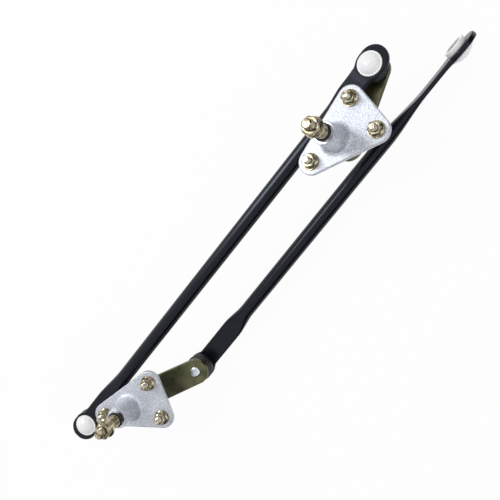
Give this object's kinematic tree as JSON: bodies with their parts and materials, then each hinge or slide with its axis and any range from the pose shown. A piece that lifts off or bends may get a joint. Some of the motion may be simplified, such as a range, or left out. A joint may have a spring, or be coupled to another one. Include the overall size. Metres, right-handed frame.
{
  "type": "wiper linkage",
  "caption": "Windscreen wiper linkage: cast flanged pivots with threaded spindles and cranks, joined by a tubular connecting link, with a drive link to the motor on ball joints.",
  "frame": {"origin": "left spindle axis at the front face of the left flange", "axes": "+Z along the left spindle to its threaded tip; -X from the spindle to the apex stud of the left flange"},
  "size_m": [0.4693, 0.2483, 0.128],
  "materials": {
    "cast_aluminium": "as-cast, fine sandy texture",
    "sintered_bronze": "oil-soaked satin",
    "bright_steel": "clear zinc, satin",
    "olive_zinc_steel": "olive chromated zinc, satin",
    "yellow_zinc_steel": "yellow chromated zinc, satin",
    "black_enamel": "glossy black enamel",
    "white_nylon": "moulded, semi-gloss",
    "black_rubber": "moulded, matt"
  },
  "bodies": {
    "left_pivot_body": {"left_pivot_housing": "cast_aluminium", "left_upper_bush": "sintered_bronze", "left_lower_bush": "sintered_bronze", "left_end_washer": "bright_steel", "left_studs": "bright_steel", "left_stud_washers": "yellow_zinc_steel", "left_stud_nuts": "yellow_zinc_steel"},
    "left_crank_body": {"left_spindle": "yellow_zinc_steel", "left_crank": "olive_zinc_steel", "left_thrust_washer": "white_nylon", "left_retaining_clip": "bright_steel", "left_shaft_seal": "black_rubber", "left_spindle_nut": "yellow_zinc_steel", "left_connecting_ball_stud": "bright_steel", "drive_ball_stud": "bright_steel"},
    "connecting_link_body": {"connecting_link": "black_enamel", "left_connecting_socket": "white_nylon", "right_connecting_socket": "white_nylon", "left_connecting_boot": "black_rubber", "right_connecting_boot": "black_rubber"},
    "right_crank_body": {"right_spindle": "yellow_zinc_steel", "right_crank": "olive_zinc_steel", "right_thrust_washer": "white_nylon", "right_retaining_clip": "bright_steel", "right_shaft_seal": "black_rubber", "right_spindle_nut": "yellow_zinc_steel", "right_connecting_ball_stud": "bright_steel"},
    "right_pivot_body": {"right_pivot_housing": "cast_aluminium", "right_upper_bush": "sintered_bronze", "right_lower_bush": "sintered_bronze", "right_end_washer": "bright_steel", "right_studs": "bright_steel", "right_stud_washers": "yellow_zinc_steel", "right_stud_nuts": "yellow_zinc_steel"},
    "drive_link_body": {"drive_link": "black_enamel", "drive_socket": "white_nylon", "drive_boot": "black_rubber", "motor_socket": "white_nylon"}
  },
  "joints": [
    {"name": "left_spindle_turn", "type": "hinge", "parent": "left_pivot_body", "child": "left_crank_body", "pos_m": [0, 0, 0], "axis": [0, 0, 1], "range_deg": [-50, 50]},
    {"name": "drive_link_swing", "type": "hinge", "parent": "left_crank_body", "child": "drive_link_body", "pos_m": [0.06303, 0.00774, -0.0476], "axis": [0, 0, 1], "range_deg": [-75, 60]},
    {"name": "connecting_link_swing", "type": "hinge", "parent": "left_crank_body", "child": "connecting_link_body", "pos_m": [-0.05955, -0.00731, -0.0166], "axis": [0, 0, 1], "range_deg": [0, 110]},
    {"name": "right_crank_swing", "type": "hinge", "parent": "connecting_link_body", "child": "right_crank_body", "pos_m": [0.30966, 0.2052, -0.01652], "axis": [-0.142, 0.246, 0.9588], "range_deg": [0, 75]},
    {"name": "right_spindle_turn", "type": "hinge", "parent": "right_crank_body", "child": "right_pivot_body", "pos_m": [0.26581, 0.16032, 0.00581], "axis": [-0.142, 0.246, 0.9588], "range_deg": [-50, 50]}
  ]
}
